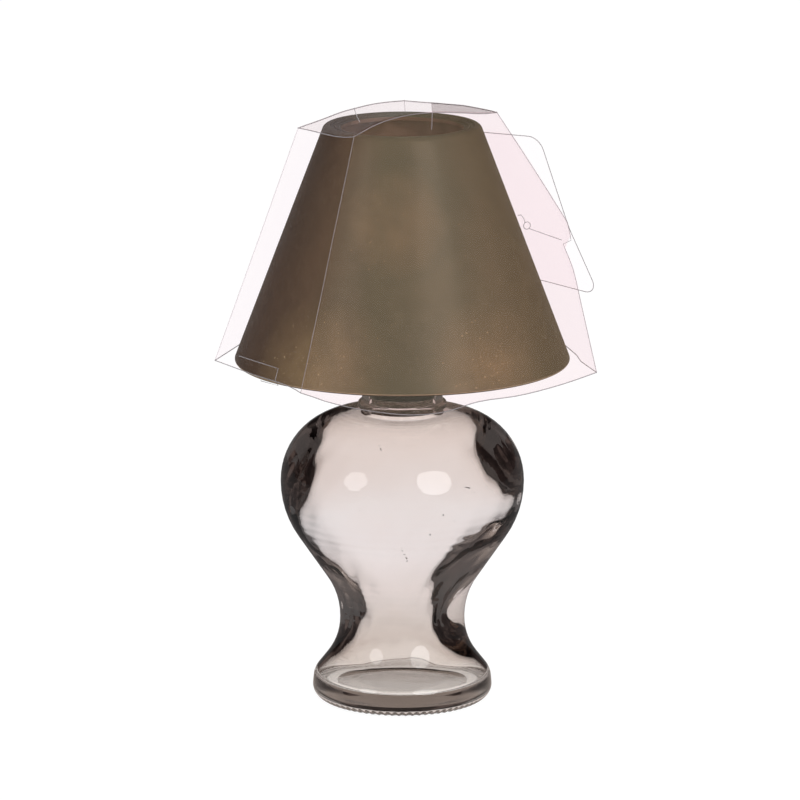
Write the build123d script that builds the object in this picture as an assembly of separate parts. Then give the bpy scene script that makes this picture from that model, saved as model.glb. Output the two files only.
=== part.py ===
from build123d import *
import math
import os

# Candle lamp with a conical shade, in millimetres.
# The origin is on the table under the middle of the foot, +Z is up, and the front is towards -Y.

# Hollow glass base: heights are measured from the table
FOOT_RADIUS = 43.9
FOOT_EDGE_ROUND = 6.0
FOOT_TOP_INSET = 1.3
FOOT_TOP_HEIGHT = 12.5
FOOT_TOP_ROUND = 8.0
BEARING_WIDTH = 7.0
PUNT_DEPTH = 3.0
PUNT_SLOPE_WIDTH = 6.0
WAIST_RADIUS = 30.0
WAIST_HEIGHT = 39.5
WAIST_ROUND_BELOW = 10.8
WAIST_ROUND_ABOVE = 11.6
BULB_RADIUS = 58.4
BULB_HEIGHT = 107.0
BULB_ROUND_BELOW = 14.1
SHOULDER_HEIGHT = 140.8
STRAIGHT_BAND = 0.6
NECK_RADIUS = 19.3
NECK_HEIGHT = 19.2
NECK_ROOT_ROUND = 0.8
LIP_ROUND = 1.2
BEAD_OVERHANG = 1.9
BEAD_RISE = 3.7
BEAD_ROUND = 2.2
GLASS_WALL = 5.0
NECK_WALL = 3.4
FLOOR_HEIGHT = 10.0
CAVITY_FLOOR_ROUND = 7.5
CAVITY_NECK_ROUND = 5.0

# Conical glass shade, open at both ends
SHADE_RISE = 6.0
SHADE_HEIGHT = 114.0
SHADE_BOTTOM_RADIUS = 80.5
SHADE_TOP_RADIUS = 37.1
SHADE_WALL = 3.5
SHADE_OPENING_RADIUS = 29.2
SHADE_TOP_ROUND = 3.0
SHADE_INNER_ROUND = 2.0
RIM_ROUND_SHARE = 0.35

# Shade carrier: a hub on the neck, three arms, a wire ring and three soft pads
HUB_THICKNESS = 4.0
HUB_OVERHANG = 3.2
WIRE_RADIUS = 1.5
ARM_COUNT = 3
ARM_LEVEL_RUN = 9.0
ARM_BEND_RADIUS = 8.0
ARM_FIRST_ANGLE = 30.0
RING_RISE = 38.0
PAD_THICKNESS = 1.5
PAD_LENGTH = 14.0
PAD_CLEARANCE = 0.02
SEAT_GAP = 0.3

# Candle cup with its spigot in the neck
SPIGOT_CLEARANCE = 1.2
SPIGOT_LENGTH = 18.0
CUP_WALL = 1.0
CUP_DEPTH = 12.0
CUP_BEAD_RADIUS = 1.0
GASKET_HEIGHT = 5.0
GASKET_TOP_DROP = 6.0
GASKET_CLEARANCE = 0.02
GASKET_BORE_CLEARANCE = 0.3

# Tealight
TEALIGHT_RADIUS = 19.0
TEALIGHT_HEIGHT = 15.0
TEALIGHT_CLEARANCE = 1.0
SHELL_WALL = 0.4
WAX_DROP = 2.5
WICK_RADIUS = 0.9
WICK_RISE = 7.0
SUSTAINER_RADIUS = 7.0
SUSTAINER_THICKNESS = 0.5

# Clear film sleeve: four folds stand off the cone and the film is drawn tight between them
FILM = 0.4
# Each fold has its angles round the axis and its distances off the cone, at the shade's rim, slit and top
LEFT_FOLD_ANGLES = (192.5, 192.9, 193.3)
LEFT_FOLD_STANDOFFS = (11.9, 12.7, 13.4)
FRONT_FOLD_ANGLES = (241.7, 243.0, 244.4)
FRONT_FOLD_STANDOFFS = (20.2, 17.6, 16.0)
RIGHT_FOLD_ANGLES = (333.4, 340.2, 344.0)
RIGHT_FOLD_STANDOFFS = (22.4, 29.3, 14.6)
BACK_FOLD_ANGLES = (444.2, 446.3, 448.7)
BACK_FOLD_STANDOFFS = (11.2, 12.9, 14.0)
SLIT_RISE = 72.0
SLIT_X = 58.3
SLIT_WIDTH = 0.8
SLIT_LENGTH = 40.0
SLIT_TILT = 22.0
SLIT_HOLE_RADIUS = 1.6
# Cut edges: x across the lamp, and the height off the shade's top or bottom rim
FRONT_TOP_EDGE = ((-50, 0.6), (-23, 2.6), (-12, 8.0), (14, 13.3), (26, 12.5), (46, 8.2))
BACK_TOP_EDGE = ((-50, 0.6), (-24, 3.2), (1, 3.0), (14, 2.8), (26, 2.9), (36, 4.1), (46, 8.2))
FRONT_LOW_EDGE = ((-70, 4), (-48, 3.9), (-35, -0.6), (-13, -5.6), (5, -7.6), (18, -7), (35, -3.6), (54, -2.8),
                  (76, 0.4), (92, 4))
BACK_LOW_EDGE = ((0, 4),)
EDGE_SPLIT_Y = -13.0
SLEEVE_MARGIN = 16.0
SLEEVE_STEPS = 4
# The film is folded over the top, straight from the front edge's heights to those of the back edge
LID_FRONT_Y = -50.0
LID_BACK_Y = 52.0
# Free end of the film, which leaves the cone along a tangent
FLAP_ANGLE = 50.0
FLAP_TOP_DROP = 8.0
FLAP_HEIGHT = 77.0
FLAP_TOP_REACH = 51.0
FLAP_TOP_RISE = 2.6
FLAP_MIDDLE_REACH = 55.7
FLAP_MIDDLE_DROP = 46.5
FLAP_LOW_REACH = 64.4
FLAP_LOW_SAG = 6.0
FLAP_TOP_ROUND = 7.0
FLAP_MIDDLE_ROUND = 40.0
FLAP_LOW_ROUND = 6.0

# Heights and radii that follow from the sizes above
NECK_TOP = SHOULDER_HEIGHT + NECK_HEIGHT
NECK_BORE = NECK_RADIUS - NECK_WALL
HUB_TOP = NECK_TOP + HUB_THICKNESS
HUB_RADIUS = NECK_RADIUS + HUB_OVERHANG
SPIGOT_RADIUS = NECK_BORE - SPIGOT_CLEARANCE
CUP_INNER_RADIUS = TEALIGHT_RADIUS + TEALIGHT_CLEARANCE
CUP_RADIUS = CUP_INNER_RADIUS + CUP_WALL
CUP_FLOOR = HUB_TOP + CUP_WALL
SHADE_BOTTOM = NECK_TOP + SHADE_RISE
SHADE_TOP = SHADE_BOTTOM + SHADE_HEIGHT
SHADE_TAPER = (SHADE_BOTTOM_RADIUS - SHADE_TOP_RADIUS) / SHADE_HEIGHT
SHADE_LEAN = math.atan(SHADE_TAPER)
SHADE_WALL_ACROSS = SHADE_WALL / math.cos(SHADE_LEAN)
RING_HEIGHT = SHADE_BOTTOM + RING_RISE
PAD_RADIUS = WIRE_RADIUS + PAD_THICKNESS
SLIT_HEIGHT = SHADE_BOTTOM + SLIT_RISE
FAR = 2 * SHADE_BOTTOM_RADIUS


def shade_radius(height):
    """Outer radius of the shade's cone at a height, carried on past both ends."""
    return SHADE_BOTTOM_RADIUS - SHADE_TAPER * (height - SHADE_BOTTOM)


RING_RADIUS = shade_radius(RING_HEIGHT) - SHADE_WALL_ACROSS - (PAD_RADIUS + SEAT_GAP) / math.cos(SHADE_LEAN)


def lathe(corners):
    """Turn a closed outline of (radius, height, rounding) corners about the Z axis."""
    outline = FilletPolyline(
        [(radius, height) for radius, height, _ in corners],
        radius=[rounding for _, _, rounding in corners],
        close=True,
    )
    return revolve(Plane.XZ * make_face(outline), Axis.Z)


def rounding(before, corner, after, tangent):
    """Radius of the arc that touches both sides of a corner at a tangent length from it."""
    turn = (Vector(*corner) - Vector(*before)).get_angle(Vector(*after) - Vector(*corner))
    return tangent / math.tan(math.radians(turn) / 2)


def inset(before, corner, after):
    """Move a corner of the base's outer flank in by the glass wall, square to both of its sides."""
    one = (Vector(*corner) - Vector(*before)).normalized()
    two = (Vector(*after) - Vector(*corner)).normalized()
    normal_one = Vector(-one.Y, one.X)
    normal_two = Vector(-two.Y, two.X)
    moved = Vector(*corner) + (normal_one + normal_two) * (GLASS_WALL / (1 + normal_one.dot(normal_two)))
    return moved.X, moved.Y


def glass_base():
    """Hollow base: foot, waist, bulb and a beaded neck, open at the top."""
    half_band = STRAIGHT_BAND / 2
    foot_top = (FOOT_RADIUS - FOOT_TOP_INSET, FOOT_TOP_HEIGHT)
    waist_low = (WAIST_RADIUS, WAIST_HEIGHT - WAIST_ROUND_BELOW)
    waist_high = (WAIST_RADIUS, WAIST_HEIGHT + WAIST_ROUND_ABOVE)
    bulb_low = (BULB_RADIUS, BULB_HEIGHT - BULB_ROUND_BELOW)
    shoulder = (BULB_RADIUS, SHOULDER_HEIGHT)
    neck_root = (NECK_RADIUS, SHOULDER_HEIGHT)
    waist_tangent = WAIST_ROUND_BELOW - half_band
    waist_low_round = rounding(foot_top, waist_low, waist_high, waist_tangent)
    waist_high_round = rounding(waist_low, waist_high, bulb_low, WAIST_ROUND_ABOVE - half_band)
    bulb_low_round = rounding(waist_high, bulb_low, shoulder, BULB_ROUND_BELOW - half_band)
    shoulder_width = BULB_RADIUS - NECK_RADIUS - NECK_ROOT_ROUND
    shoulder_round = min(SHOULDER_HEIGHT - BULB_HEIGHT, shoulder_width) - half_band
    inner_waist_high = inset(waist_low, waist_high, bulb_low)
    inner_bulb_low = inset(waist_high, bulb_low, shoulder)
    inner_shoulder = inset(bulb_low, shoulder, neck_root)
    cavity_floor = (foot_top[0] - GLASS_WALL, FLOOR_HEIGHT)
    inner_waist_low = (inner_waist_high[0], WAIST_HEIGHT - WAIST_ROUND_BELOW)
    inner_waist_round = rounding(cavity_floor, inner_waist_low, inner_waist_high, waist_tangent)
    bearing_inner = FOOT_RADIUS - FOOT_EDGE_ROUND - BEARING_WIDTH
    body = lathe([
        (0, PUNT_DEPTH, 0),
        (bearing_inner - PUNT_SLOPE_WIDTH, PUNT_DEPTH, PUNT_DEPTH),
        (bearing_inner, 0, 0),
        (FOOT_RADIUS, 0, FOOT_EDGE_ROUND),
        (*foot_top, FOOT_TOP_ROUND),
        (*waist_low, waist_low_round),
        (*waist_high, waist_high_round),
        (*bulb_low, bulb_low_round),
        (*shoulder, shoulder_round),
        (*neck_root, NECK_ROOT_ROUND),
        (NECK_RADIUS, NECK_TOP, LIP_ROUND),
        (NECK_BORE, NECK_TOP, LIP_ROUND),
        (NECK_BORE, SHOULDER_HEIGHT - GLASS_WALL, CAVITY_NECK_ROUND),
        (*inner_shoulder, shoulder_round - GLASS_WALL),
        (*inner_bulb_low, bulb_low_round - GLASS_WALL),
        (*inner_waist_high, waist_high_round + GLASS_WALL),
        (*inner_waist_low, inner_waist_round),
        (*cavity_floor, CAVITY_FLOOR_ROUND),
        (0, FLOOR_HEIGHT, 0),
    ])
    bead_middle = NECK_RADIUS + BEAD_OVERHANG - BEAD_ROUND
    bead = Pos(0, 0, SHOULDER_HEIGHT + BEAD_RISE) * Torus(bead_middle, BEAD_ROUND)
    return body + bead


def shade():
    """Conical shade with a turned-in top and a rounded rim."""
    flange_low = SHADE_TOP - SHADE_WALL
    rim_round = SHADE_WALL * RIM_ROUND_SHARE
    inner_top = shade_radius(flange_low) - SHADE_WALL_ACROSS
    return lathe([
        (SHADE_BOTTOM_RADIUS, SHADE_BOTTOM, rim_round),
        (SHADE_TOP_RADIUS, SHADE_TOP, SHADE_TOP_ROUND),
        (SHADE_OPENING_RADIUS, SHADE_TOP, rim_round),
        (SHADE_OPENING_RADIUS, flange_low, rim_round),
        (inner_top, flange_low, SHADE_INNER_ROUND),
        (SHADE_BOTTOM_RADIUS - SHADE_WALL_ACROSS, SHADE_BOTTOM, rim_round),
    ])


def carrier_hub():
    """Flat ring that lies on the neck's lip, with the neck's bore through it."""
    disc = extrude(Circle(HUB_RADIUS) - Circle(NECK_BORE), HUB_THICKNESS)
    return Pos(0, 0, NECK_TOP) * disc


def carrier_ring():
    """Wire ring that holds the pads inside the cone."""
    return Pos(0, 0, RING_HEIGHT) * Torus(RING_RADIUS, WIRE_RADIUS)


def carrier_arm(index, hub, ring):
    """Bent wire from the hub's edge to the ring, coped to both."""
    wire_height = NECK_TOP + HUB_THICKNESS / 2
    start = (HUB_RADIUS - WIRE_RADIUS, wire_height)
    bend = (HUB_RADIUS + ARM_LEVEL_RUN, wire_height)
    path = Plane.XZ * FilletPolyline(start, bend, (RING_RADIUS, RING_HEIGHT), radius=[ARM_BEND_RADIUS])
    arm = sweep(Plane(path @ 0, z_dir=path % 0) * Circle(WIRE_RADIUS), path)
    turned = Rot(0, 0, ARM_FIRST_ANGLE + index * 360 / ARM_COUNT) * arm
    return turned - hub - ring


def shade_pad(index):
    """Soft sleeve on the ring, midway between two arms, that the cone leans on."""
    span = math.degrees(PAD_LENGTH / RING_RADIUS)
    section = Circle(PAD_RADIUS) - Circle(WIRE_RADIUS + PAD_CLEARANCE)
    tube = revolve(Plane.XZ * Pos(RING_RADIUS, RING_HEIGHT) * section, Axis.Z, span)
    middle_angle = ARM_FIRST_ANGLE + (index + 0.5) * 360 / ARM_COUNT
    return Rot(0, 0, middle_angle - span / 2) * tube


def candle_cup():
    """Spun cup with a rolled rim and a hollow spigot below its floor."""
    rim = HUB_TOP + CUP_WALL + CUP_DEPTH
    spigot_end = NECK_TOP - SPIGOT_LENGTH
    shell = lathe([
        (0, CUP_FLOOR - CUP_WALL, 0),
        (SPIGOT_RADIUS - CUP_WALL, CUP_FLOOR - CUP_WALL, 0),
        (SPIGOT_RADIUS - CUP_WALL, spigot_end, 0),
        (SPIGOT_RADIUS, spigot_end, 0),
        (SPIGOT_RADIUS, HUB_TOP, 0),
        (CUP_RADIUS, HUB_TOP, CUP_WALL),
        (CUP_RADIUS, rim, 0),
        (CUP_INNER_RADIUS, rim, 0),
        (CUP_INNER_RADIUS, CUP_FLOOR, 0),
        (0, CUP_FLOOR, 0),
    ])
    bead = Pos(0, 0, rim) * Torus(CUP_RADIUS, CUP_BEAD_RADIUS)
    return shell + bead


def neck_gasket():
    """Soft ring round the spigot that centres the cup in the neck."""
    ring = Circle(NECK_BORE - GASKET_BORE_CLEARANCE) - Circle(SPIGOT_RADIUS + GASKET_CLEARANCE)
    return Pos(0, 0, NECK_TOP - GASKET_TOP_DROP - GASKET_HEIGHT) * extrude(ring, GASKET_HEIGHT)


def tealight_shell():
    """Thin metal cup of the candle."""
    outside = extrude(Circle(TEALIGHT_RADIUS), TEALIGHT_HEIGHT)
    inside = Pos(0, 0, SHELL_WALL) * extrude(Circle(TEALIGHT_RADIUS - SHELL_WALL), TEALIGHT_HEIGHT)
    return Pos(0, 0, CUP_FLOOR) * (outside - inside)


def wick_sustainer():
    """Small metal disc that holds the wick upright on the shell's floor."""
    disc = extrude(Circle(SUSTAINER_RADIUS) - Circle(WICK_RADIUS), SUSTAINER_THICKNESS)
    return Pos(0, 0, CUP_FLOOR + SHELL_WALL) * disc


def tealight_wick():
    """Waxed wick from the shell's floor to above the wax."""
    length = TEALIGHT_HEIGHT - SHELL_WALL - WAX_DROP + WICK_RISE
    return Pos(0, 0, CUP_FLOOR + SHELL_WALL) * extrude(Circle(WICK_RADIUS), length)


def tealight_wax(sustainer, wick):
    """Wax that fills the shell round the wick and its disc."""
    height = TEALIGHT_HEIGHT - SHELL_WALL - WAX_DROP
    fill = Pos(0, 0, CUP_FLOOR + SHELL_WALL) * extrude(Circle(TEALIGHT_RADIUS - SHELL_WALL), height)
    return fill - sustainer - wick


def along_fold(values, height):
    """One of a fold's values at a height, from its values at the shade's rim, slit and top."""
    low, middle, high = values
    if height < SLIT_HEIGHT:
        return low + (middle - low) * (height - SHADE_BOTTOM) / SLIT_RISE
    return middle + (high - middle) * (height - SLIT_HEIGHT) / (SHADE_HEIGHT - SLIT_RISE)


def fold_point(angles, standoffs, height, growth):
    """Where a fold of the sleeve stands at a height, as its angle and its distance from the axis."""
    distance = shade_radius(height) + along_fold(standoffs, height)
    return math.radians(along_fold(angles, height)), distance * growth


def polar(angle, distance):
    """Point in plan at an angle and a distance from the axis."""
    return distance * math.cos(angle), distance * math.sin(angle)


def sleeve_section(height, thickness):
    """The sleeve in plan: tangents from each fold to the cone, and arcs of the cone between them."""
    bare = shade_radius(height) + SEAT_GAP
    radius = bare + thickness
    growth = radius / bare
    left = fold_point(LEFT_FOLD_ANGLES, LEFT_FOLD_STANDOFFS, height, growth)
    front = fold_point(FRONT_FOLD_ANGLES, FRONT_FOLD_STANDOFFS, height, growth)
    right = fold_point(RIGHT_FOLD_ANGLES, RIGHT_FOLD_STANDOFFS, height, growth)
    back = fold_point(BACK_FOLD_ANGLES, BACK_FOLD_STANDOFFS, height, growth)
    around = (left[0] + math.tau, left[1])
    edges = [Line(polar(*left), polar(*front))]
    for here, there in ((front, right), (right, back), (back, around)):
        leaves = here[0] + math.acos(radius / here[1])
        meets = there[0] - math.acos(radius / there[1])
        middle = polar((leaves + meets) / 2, radius)
        edges.append(Line(polar(*here), polar(leaves, radius)))
        edges.append(ThreePointArc(polar(leaves, radius), middle, polar(meets, radius)))
        edges.append(Line(polar(meets, radius), polar(*there)))
    return Pos(0, 0, height) * make_face(Wire(edges))


def sleeve_block(thickness):
    """Solid inside the sleeve's surface, from below the shade's rim to above its top."""
    low = SHADE_BOTTOM - SLEEVE_MARGIN
    high = SHADE_TOP + SLEEVE_MARGIN
    steps = [step / SLEEVE_STEPS for step in range(SLEEVE_STEPS)]
    heights = [low + step * (SLIT_HEIGHT - low) for step in steps]
    heights += [SLIT_HEIGHT + step * (high - SLIT_HEIGHT) for step in steps]
    return loft([sleeve_section(height, thickness) for height in [*heights, high]], ruled=True)


def edge_cutter(points, level, reach, front):
    """Block that trims the film past a curved edge, on the front or the back of the sleeve."""
    run = [(-FAR, points[0][1]), *points, (FAR, points[-1][1])]
    curve = Spline([(x, level + rise) for x, rise in run])
    corners = Polyline(curve @ 1, (FAR, level + reach), (-FAR, level + reach), curve @ 0)
    face = Plane.XZ * make_face([curve, corners])
    depth = FAR if front else -FAR
    return Pos(0, EDGE_SPLIT_Y, 0) * extrude(face, depth)


def lid_block(low, high):
    """Block between two heights off the film's closed top, wider than the sleeve."""
    faces = []
    for points, y in ((FRONT_TOP_EDGE, LID_FRONT_Y), (BACK_TOP_EDGE, LID_BACK_Y)):
        run = [(-FAR, points[0][1]), *points, (FAR, points[-1][1])]
        upper = Spline([(x, SHADE_TOP + rise + high) for x, rise in run])
        lower = Spline([(x, SHADE_TOP + rise + low) for x, rise in run])
        sides = [Line(lower @ 0, upper @ 0), Line(upper @ 1, lower @ 1)]
        faces.append(Pos(0, y, 0) * (Plane.XZ * make_face([upper, lower, *sides])))
    return loft(faces, ruled=True)


def sleeve_flap():
    """Flat free end of the film, in the plane that touches the cone along one line."""
    angle = math.radians(FLAP_ANGLE)
    outward = Vector(math.cos(angle), math.sin(angle))
    top = SHADE_TOP - FLAP_TOP_DROP
    normal = outward * math.cos(SHADE_LEAN) + Vector(0, 0, math.sin(SHADE_LEAN))
    origin = outward * (shade_radius(top) + SEAT_GAP) + Vector(0, 0, top)
    plane = Plane(origin, x_dir=Vector(math.sin(angle), -math.cos(angle)), z_dir=normal)
    outline = FilletPolyline(
        (0, 0),
        (FLAP_TOP_REACH, -FLAP_TOP_RISE),
        (FLAP_MIDDLE_REACH, FLAP_MIDDLE_DROP),
        (FLAP_LOW_REACH, FLAP_HEIGHT + FLAP_LOW_SAG),
        (0, FLAP_HEIGHT),
        radius=[0, FLAP_TOP_ROUND, FLAP_MIDDLE_ROUND, FLAP_LOW_ROUND, 0],
        close=True,
    )
    return extrude(plane * make_face(outline), FILM)


def clear_sleeve():
    """Clear film round the shade, closed at the top, with cut edges, a slit with a round end, and a free flap."""
    block = sleeve_block(FILM)
    film = block - sleeve_block(0) - lid_block(0, SLEEVE_MARGIN * 2) + (block & lid_block(-FILM, 0))
    for points, level, reach, front in (
        (FRONT_LOW_EDGE, SHADE_BOTTOM, -FAR, True),
        (BACK_LOW_EDGE, SHADE_BOTTOM, -FAR, False),
    ):
        film -= edge_cutter(points, level, reach, front)
    slit = Pos(SLIT_LENGTH / 2, 0, 0) * Box(SLIT_LENGTH, FAR, SLIT_WIDTH)
    hole = Rot(90, 0, 0) * Cylinder(SLIT_HOLE_RADIUS, FAR)
    cutter = Pos(SLIT_X, EDGE_SPLIT_Y - FAR / 2, SLIT_HEIGHT) * Rot(0, SLIT_TILT, 0) * (slit + hole)
    return film - cutter + sleeve_flap()


def build():
    """Every node of the lamp by name."""
    hub = carrier_hub()
    ring = carrier_ring()
    sustainer = wick_sustainer()
    wick = tealight_wick()
    nodes = {
        "glass_base": glass_base(),
        "carrier_hub": hub,
        "carrier_ring": ring,
        "candle_cup": candle_cup(),
        "neck_gasket": neck_gasket(),
        "tealight_shell": tealight_shell(),
        "tealight_wax": tealight_wax(sustainer, wick),
        "tealight_wick": wick,
        "wick_sustainer": sustainer,
        "shade": shade(),
        "clear_sleeve": clear_sleeve(),
    }
    for index in range(ARM_COUNT):
        nodes[f"carrier_arm_{index + 1}"] = carrier_arm(index, hub, ring)
        nodes[f"shade_pad_{index + 1}"] = shade_pad(index)
    return nodes


os.makedirs("parts", exist_ok=True)
for name, shape in build().items():
    export_step(shape, f"parts/{name}.step")
    print(name, round(shape.volume, 1), shape.is_valid)
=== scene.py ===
# %% [markdown]
# # A candle lamp with a glass base, a painted shade and a clear film round it
# The lamp stands on an uneven, smoke-tinted glass base that is hollow and open at its neck. A metal cup
# with a tealight stands in the neck, a wire carrier holds a painted cone over it, and a clear film is
# still folded round the cone. Sizes are in millimetres, as a maker would write them, and are turned into
# metres where a mesh is made.

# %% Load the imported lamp
import math

import bmesh
import bpy
import numpy as np
from mathutils import Matrix, Vector


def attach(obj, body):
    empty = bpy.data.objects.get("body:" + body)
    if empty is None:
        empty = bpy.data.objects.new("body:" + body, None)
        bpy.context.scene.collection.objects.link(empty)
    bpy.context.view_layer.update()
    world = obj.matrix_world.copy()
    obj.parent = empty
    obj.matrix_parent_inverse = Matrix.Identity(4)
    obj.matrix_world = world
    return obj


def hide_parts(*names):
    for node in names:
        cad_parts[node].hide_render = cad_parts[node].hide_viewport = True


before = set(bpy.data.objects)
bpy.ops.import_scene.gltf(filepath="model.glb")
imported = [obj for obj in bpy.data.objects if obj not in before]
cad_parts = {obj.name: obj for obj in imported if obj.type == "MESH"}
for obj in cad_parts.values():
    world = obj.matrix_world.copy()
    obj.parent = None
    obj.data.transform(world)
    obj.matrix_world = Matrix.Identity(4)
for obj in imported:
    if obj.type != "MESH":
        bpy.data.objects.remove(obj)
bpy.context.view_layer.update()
scene = bpy.context.scene
MILLIMETRE = 0.001

# %% [markdown]
# ## Where the photograph was taken from
# The camera looks down on the lamp a little, from far away and through a long lens, so the shade's rims
# are flat ellipses and the sides hardly converge. A guess by eye would do for a sketch. Here the tilt and
# the distance come from how much the rim, the neck and the foot open up as ellipses. Light that crosses
# the film and both walls of the base meets many surfaces, so it may turn more often than Blender's
# default allows.

# %% The camera
SENSOR = 36.0
FOCAL_LENGTH = 234.0
CAMERA_PLACE = (-0.0011, -2.4248, 0.7037)
CAMERA_TILT = 12.948


def add_object(name, data):
    """Make an object of a mesh, a light or a camera and put it in the scene."""
    made = bpy.data.objects.new(name, data)
    scene.collection.objects.link(made)
    return made


camera_data = bpy.data.cameras.new("photo_camera")
camera_data.sensor_width = SENSOR
camera_data.lens = FOCAL_LENGTH
camera = add_object("photo_camera", camera_data)
camera.location = CAMERA_PLACE
camera.rotation_euler = (math.radians(90 - CAMERA_TILT), 0, 0)
scene.camera = camera
scene.view_settings.view_transform = "Standard"
scene.cycles.max_bounces = 24
scene.cycles.glossy_bounces = 16
scene.cycles.transmission_bounces = 24
scene.cycles.transparent_max_bounces = 32
print("camera tilt", CAMERA_TILT, "degrees")

# %% [markdown]
# ## Small helpers for shader nodes
# Every finish here is a network of shader nodes, so that it has no picture to load and looks the same at
# any size. Nodes can be drawn by hand in the editor. In a script each takes three or four lines, and
# these helpers take up what repeats: adding a node, setting its sockets and linking them.


# %% Adding and linking nodes
def node(tree, kind, **settings):
    """Add a shader node and set its properties by name."""
    made = tree.nodes.new("ShaderNode" + kind)
    for name, value in settings.items():
        setattr(made, name, value)
    return made


def set_inputs(made, **values):
    """Set a node's sockets by name, with _ for the blanks in a name."""
    for name, value in values.items():
        made.inputs[name.replace("_", " ")].default_value = value
    return made


def join(tree, start, end):
    """Link two sockets."""
    tree.links.new(start, end)


def feed(tree, value, socket):
    """Link a socket to another one, or set it where the value is a plain one."""
    if hasattr(value, "links"):
        join(tree, value, socket)
    else:
        socket.default_value = value


def new_finish(name):
    """A new material, with its node tree and its main shader."""
    made = bpy.data.materials.new(name)
    made.use_nodes = True
    return made, made.node_tree, made.node_tree.nodes["Principled BSDF"]


print("node helpers ready")


# %% Colours
def colour(red, green, blue):
    """A colour socket's value for a colour given in 0 to 255, as a paint chart would."""
    shares = [((v / 255 + 0.055) / 1.055) ** 2.4 if v > 10 else v / 3295 for v in (red, green, blue)]
    return (*shares, 1)


def grey(value):
    """A colour socket's value for a grey."""
    return (value, value, value, 1)


def bands(tree, source, stops):
    """A colour ramp through (place, colour) stops."""
    ramp = node(tree, "ValToRGB")
    while len(ramp.color_ramp.elements) < len(stops):
        ramp.color_ramp.elements.new(1)
    for element, (place, tone) in zip(ramp.color_ramp.elements, stops):
        element.position = place
        element.color = tone
    join(tree, source, ramp.inputs["Fac"])
    return ramp.outputs["Color"]


def blend_colours(tree, share, one, two, how="MIX"):
    """Mix two colours by a share. All three are sockets or plain values."""
    mix = node(tree, "Mix", data_type="RGBA", blend_type=how)
    for socket, value in zip((mix.inputs[0], *mix.inputs[6:8]), (share, one, two)):
        feed(tree, value, socket)
    return mix.outputs[2]


print("colour helpers ready")


# %% Sums, noise and bumps
def sums(tree, operation, one, two):
    """A Math node of two sockets or numbers."""
    made = node(tree, "Math", operation=operation)
    feed(tree, one, made.inputs[0])
    feed(tree, two, made.inputs[1])
    return made.outputs[0]


def vector_sums(tree, operation, *values):
    """A Vector Math node over sockets or plain vectors."""
    made = node(tree, "VectorMath", operation=operation)
    for socket, value in zip(made.inputs, values):
        feed(tree, value, socket)
    return made.outputs["Value" if operation in ("LENGTH", "DISTANCE") else "Vector"]


def axis_of(tree, coordinate, axis):
    """One of the three numbers of a coordinate."""
    made = node(tree, "SeparateXYZ")
    join(tree, coordinate, made.inputs[0])
    return made.outputs[axis]


def noise(tree, coordinate, scale, detail=2.0, roughness=0.5):
    """A noise texture's value over a coordinate."""
    made = set_inputs(node(tree, "TexNoise"), Scale=scale, Detail=detail, Roughness=roughness)
    join(tree, coordinate, made.inputs["Vector"])
    return made.outputs["Fac"]


def relief(tree, shine, height, strength, distance):
    """Give a shader a bump from a height value."""
    bump = set_inputs(node(tree, "Bump"), Strength=strength, Distance=distance)
    join(tree, height, bump.inputs["Height"])
    join(tree, bump.outputs[0], shine.inputs["Normal"])


def either(tree, share, one, two):
    """A shader between two others, by a share."""
    made = node(tree, "MixShader")
    for socket, start in zip(made.inputs, (share, one, two)):
        join(tree, start, socket)
    return made.outputs[0]


print("texture helpers ready")

# %% [markdown]
# ## A white studio with a dim room round it
# Glass shows nothing but its surroundings. Seen straight through, the base shows the white backdrop, but
# where the light is thrown about inside its thick wall it shows the room beside the lamp, which is
# darker. So the floor and the world are white to the camera, to brushed metal and to light that only
# passes through, and dim to light that polished glass has reflected. Light Path tells these apart, so the
# base looks the same way from every side.

# %% What a ray sees of the studio
WHITE = (1, 1, 1, 1)
AT_LEAST_ONCE = 0.5


def backdrop(tree, room_colour, glow=1.0):
    """A shader that is white when looked at or through and shows the room in reflections."""
    path = node(tree, "LightPath")
    white = set_inputs(node(tree, "Emission"), Color=WHITE, Strength=glow)
    room = set_inputs(node(tree, "Emission"), Strength=1.0)
    join(tree, room_colour, room.inputs["Color"])
    reflected = sums(tree, "GREATER_THAN", path.outputs["Glossy Depth"], AT_LEAST_ONCE)
    reflected = sums(tree, "MULTIPLY", reflected, path.outputs["Is Singular Ray"])
    shown = either(tree, reflected, white.outputs[0], room.outputs[0])
    seen = sums(tree, "MAXIMUM", path.outputs["Is Camera Ray"], path.outputs["Is Glossy Ray"])
    seen = sums(tree, "MAXIMUM", seen, path.outputs["Is Transmission Ray"])
    return shown, seen


print("backdrop ready")

# %% The world
ROOM_LEVEL = 0.62
ROOM_BLOTCHES = 2.6
world = bpy.data.worlds.new("studio")
world.use_nodes = True
scene.world = world
tree = world.node_tree
room_light = set_inputs(tree.nodes["Background"], Color=WHITE, Strength=ROOM_LEVEL)
direction = node(tree, "TexCoord").outputs["Generated"]
room_tone = bands(tree, noise(tree, direction, ROOM_BLOTCHES, 3.0), [
    (0.36, colour(24, 19, 19)), (0.52, colour(46, 38, 37)), (0.66, colour(96, 85, 81)),
])
studio, seen = backdrop(tree, room_tone)
lit_or_seen = either(tree, seen, room_light.outputs[0], studio)
join(tree, lit_or_seen, tree.nodes["World Output"].inputs["Surface"])
print("world lights at", ROOM_LEVEL)

# %% [markdown]
# ## White paper to stand on
# The lamp stands on white paper that runs up behind it without a corner. A curved sweep would do the same
# job. A large flat sheet is enough here, because it glows white to the camera and so has no horizon. A
# small diffuse share keeps the lamp's shadow, and near the lamp the paper is lighter in reflections than
# the room, because the lamps light it there.

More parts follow.
